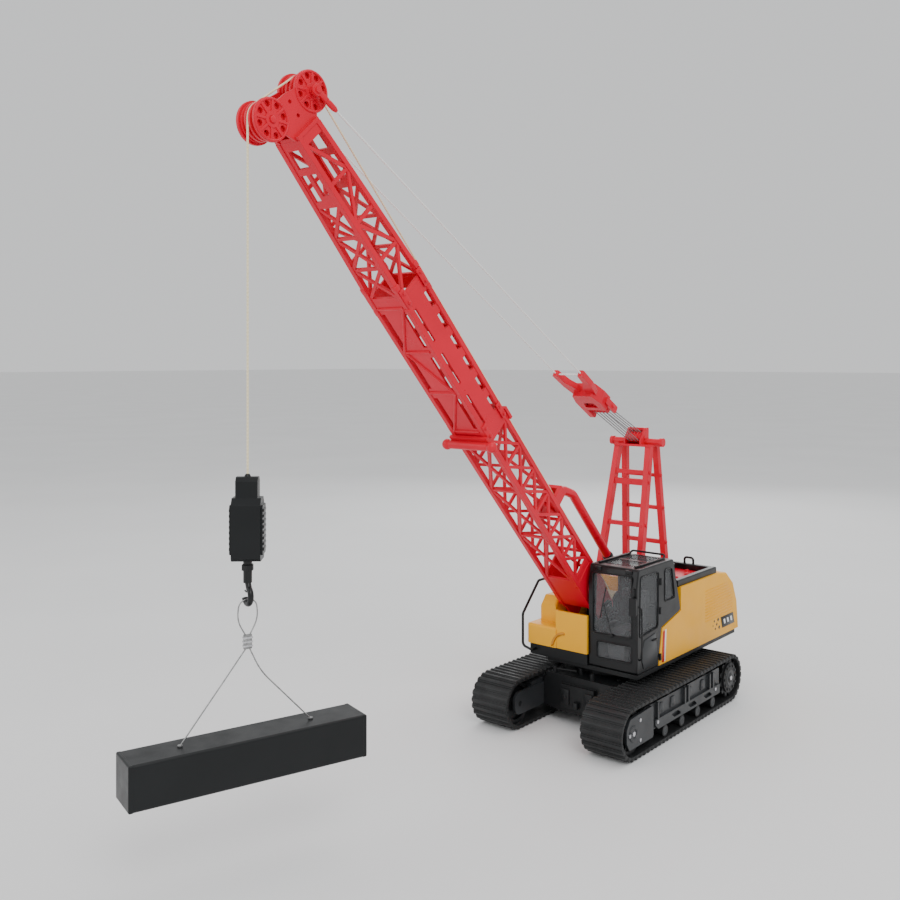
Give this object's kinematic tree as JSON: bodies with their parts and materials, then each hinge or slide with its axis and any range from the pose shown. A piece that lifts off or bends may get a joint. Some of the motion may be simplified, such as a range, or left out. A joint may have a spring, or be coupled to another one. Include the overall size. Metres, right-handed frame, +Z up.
{
  "type": "toy crawler crane",
  "caption": "Toy crawler crane on two rubber tracks, with a slewing engine house and cab, a luffing lattice boom held by pendants, and a hoist rope carrying a hook, sling and load beam.",
  "frame": {"origin": "on the ground under the slew axis", "axes": "+X forwards, the way the boom points; +Y to the cab side; +Z up"},
  "size_m": [0.7629, 0.1776, 0.6017],
  "materials": {
    "yellow_cover": "glossy warm yellow moulding",
    "red_boom": "glossy red moulding",
    "black_trim": "satin black moulding",
    "chassis_grey": "satin dark grey moulding",
    "frame_grey": "satin mid grey moulding",
    "belt_rubber": "moulded rubber",
    "cab_glass": "clear moulded panes",
    "pin_steel": "turned",
    "hoist_cord": "twisted cream cord",
    "pendant_cord": "twisted pale cord",
    "sling_wire": "twisted wire",
    "load_black": "satin black moulding",
    "ballast_iron": "cast",
    "motor_can": "rolled can",
    "board_green": "circuit board",
    "battery_wrap": "shrink wrap"
  },
  "bodies": {
    "chassis": {"car_body": "chassis_grey", "battery_cover": "chassis_grey", "battery_pack": "battery_wrap", "slew_ring": "chassis_grey", "drive_motors": "motor_can", "track_frame_screws": "pin_steel", "left_track_frame": "frame_grey", "right_track_frame": "frame_grey", "left_track_belt": "belt_rubber", "right_track_belt": "belt_rubber", "left_track_rollers": "chassis_grey", "right_track_rollers": "chassis_grey"},
    "left_sprocket": {"left_sprocket": "chassis_grey"},
    "right_sprocket": {"right_sprocket": "chassis_grey"},
    "left_idler": {"left_idler": "chassis_grey"},
    "right_idler": {"right_idler": "chassis_grey"},
    "superstructure": {"deck_plate": "chassis_grey", "house_shell": "yellow_cover", "hood_rim": "black_trim", "hood_panel": "red_boom", "lifting_loop": "black_trim", "counterweight": "ballast_iron", "front_cover": "yellow_cover", "cab_frame": "black_trim", "cab_windows": "cab_glass", "cab_roof_panels": "cab_glass", "cab_seat": "black_trim", "cab_mirror": "black_trim", "handrail": "black_trim", "gantry_front_frame": "red_boom", "gantry_rear_frame": "red_boom", "gantry_head": "red_boom", "winch_frame": "chassis_grey", "winch_and_slew_motors": "motor_can", "circuit_board": "board_green", "boom_foot_brackets": "chassis_grey", "boom_foot_pin": "pin_steel"},
    "gantry_sheaves": {"gantry_sheaves": "black_trim"},
    "hoist_drum": {"hoist_drum": "black_trim"},
    "luff_drum": {"luff_drum": "black_trim"},
    "boom": {"boom_foot_section": "red_boom", "boom_middle_section": "red_boom", "boom_top_section": "red_boom", "boom_joint_collar": "black_trim", "boom_head": "red_boom", "sheave_pins": "pin_steel", "backstop_strut": "red_boom", "bridle": "red_boom", "pendant_cords": "pendant_cord", "luff_ropes": "pendant_cord", "hoist_rope_boom": "hoist_cord", "hoist_rope_lower": "hoist_cord"},
    "front_sheave": {"front_sheave": "black_trim"},
    "rear_sheave": {"rear_sheave": "black_trim"},
    "hoist_line": {"hoist_rope_hanging": "hoist_cord"},
    "hook_block": {"hook_block": "load_black"},
    "hook": {"hook": "load_black", "sling": "sling_wire", "load_beam": "load_black", "load_end_caps": "load_black"}
  },
  "joints": [
    {"name": "slew", "type": "hinge", "parent": "chassis", "child": "superstructure", "pos_m": [0, 0, 0.0585], "axis": [0, 0, 1], "continuous": true},
    {"name": "left_sprocket_spin", "type": "hinge", "parent": "chassis", "child": "left_sprocket", "pos_m": [-0.109, 0.0661, 0.026], "axis": [0, 1, 0], "continuous": true},
    {"name": "left_idler_spin", "type": "hinge", "parent": "chassis", "child": "left_idler", "pos_m": [0.109, 0.0661, 0.026], "axis": [0, 1, 0], "continuous": true},
    {"name": "right_sprocket_spin", "type": "hinge", "parent": "chassis", "child": "right_sprocket", "pos_m": [-0.109, -0.0661, 0.026], "axis": [0, 1, 0], "continuous": true},
    {"name": "right_idler_spin", "type": "hinge", "parent": "chassis", "child": "right_idler", "pos_m": [0.109, -0.0661, 0.026], "axis": [0, 1, 0], "continuous": true},
    {"name": "boom_luff", "type": "hinge", "parent": "superstructure", "child": "boom", "pos_m": [0.018, -0.018, 0.116], "axis": [0, -1, 0], "range_deg": [-9, 12], "deforming": ["luff_ropes", "hoist_rope_lower"]},
    {"name": "luff_drum_spin", "type": "hinge", "parent": "superstructure", "child": "luff_drum", "pos_m": [-0.076, -0.018, 0.088], "axis": [0, 1, 0], "continuous": true},
    {"name": "gantry_sheaves_spin", "type": "hinge", "parent": "superstructure", "child": "gantry_sheaves", "pos_m": [-0.084, -0.018, 0.291], "axis": [0, 1, 0], "continuous": true},
    {"name": "hoist_drum_spin", "type": "hinge", "parent": "superstructure", "child": "hoist_drum", "pos_m": [-0.01795, -0.018, 0.11146], "axis": [0, 1, 0], "continuous": true},
    {"name": "front_sheave_spin", "type": "hinge", "parent": "boom", "child": "front_sheave", "pos_m": [0.47044, -0.018, 0.5566], "axis": [0, 1, 0], "continuous": true},
    {"name": "rear_sheave_spin", "type": "hinge", "parent": "boom", "child": "rear_sheave", "pos_m": [0.43145, -0.018, 0.58523], "axis": [0, 1, 0], "continuous": true},
    {"name": "hoist_line_hang", "type": "hinge", "parent": "boom", "child": "hoist_line", "pos_m": [0.47044, -0.018, 0.5566], "axis": [0, -1, 0], "range_deg": [-12, 9]},
    {"name": "hoist_travel", "type": "slide", "parent": "hoist_line", "child": "hook_block", "axis": [0, 0, -1], "range_m": [-0.19, 0.07], "deforming": ["hoist_rope_hanging"]},
    {"name": "hook_swivel", "type": "hinge", "parent": "hook_block", "child": "hook", "pos_m": [0.48444, -0.018, 0.24], "axis": [0, 0, 1], "continuous": true}
  ],
  "couplings": [
    {"joint": "left_idler_spin", "follows": "left_sprocket_spin", "ratio": 1},
    {"joint": "right_idler_spin", "follows": "right_sprocket_spin", "ratio": 1},
    {"joint": "hoist_line_hang", "follows": "boom_luff", "ratio": -1},
    {"joint": "luff_drum_spin", "follows": "boom_luff", "ratio": 8},
    {"joint": "gantry_sheaves_spin", "follows": "boom_luff", "ratio": 4},
    {"joint": "front_sheave_spin", "follows": "hoist_travel", "rad_per_m": 71.429},
    {"joint": "rear_sheave_spin", "follows": "hoist_travel", "rad_per_m": 71.429},
    {"joint": "hoist_drum_spin", "follows": "hoist_travel", "rad_per_m": 78.125}
  ]
}
